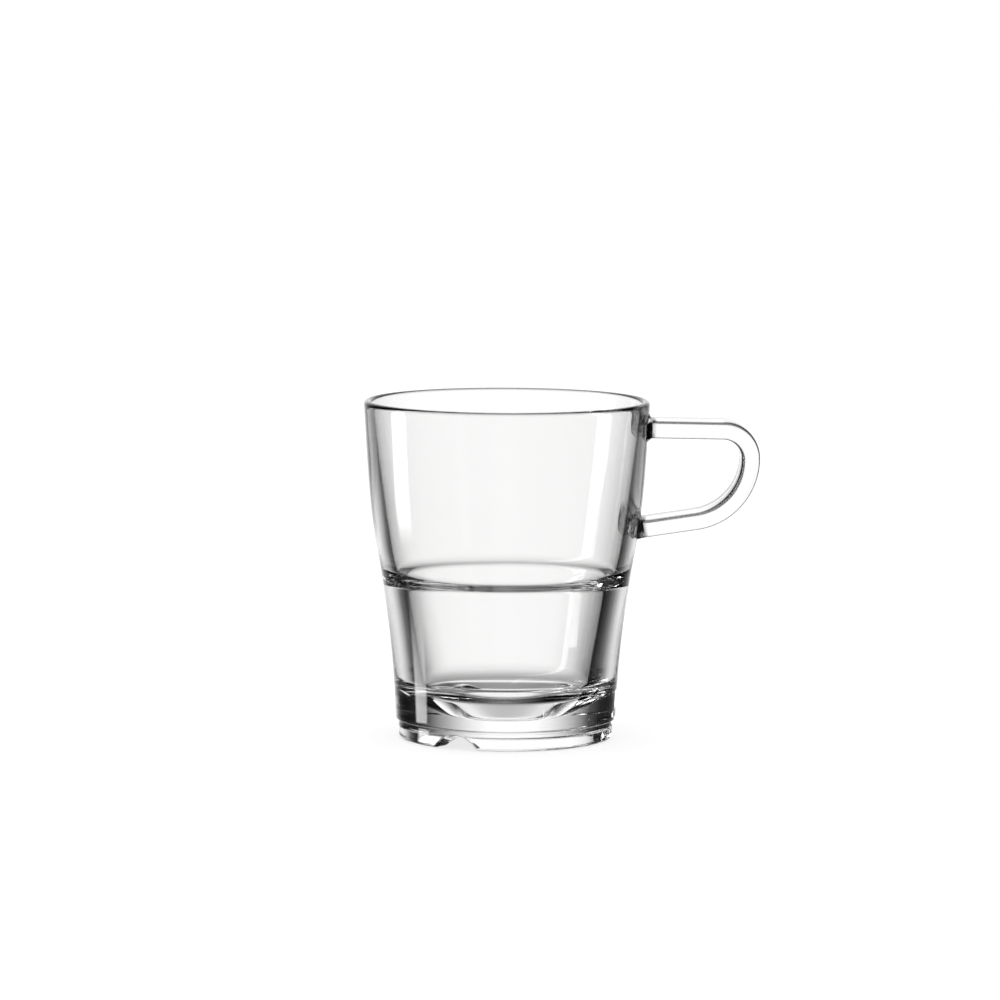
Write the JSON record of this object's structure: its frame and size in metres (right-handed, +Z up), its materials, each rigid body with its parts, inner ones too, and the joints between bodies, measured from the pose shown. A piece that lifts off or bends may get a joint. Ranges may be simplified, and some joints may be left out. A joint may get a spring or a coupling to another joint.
{
  "type": "cortado glass",
  "caption": "Clear glass coffee cup with a tapered S-curved wall, inside stacking ledge, thick base, notched foot ring and a fused flat strap handle.",
  "frame": {"origin": "on the cup's axis at the plane of the table the foot ring stands on", "axes": "+Z up along the cup's axis, +X from the axis toward the handle, +Y across the handle"},
  "size_m": [0.0968, 0.07, 0.083],
  "materials": {
    "clear_glass": "clear, fire polished"
  },
  "bodies": {
    "root": {"bowl": "clear_glass", "handle": "clear_glass", "upper_collar": "clear_glass", "lower_collar": "clear_glass"}
  },
  "joints": []
}
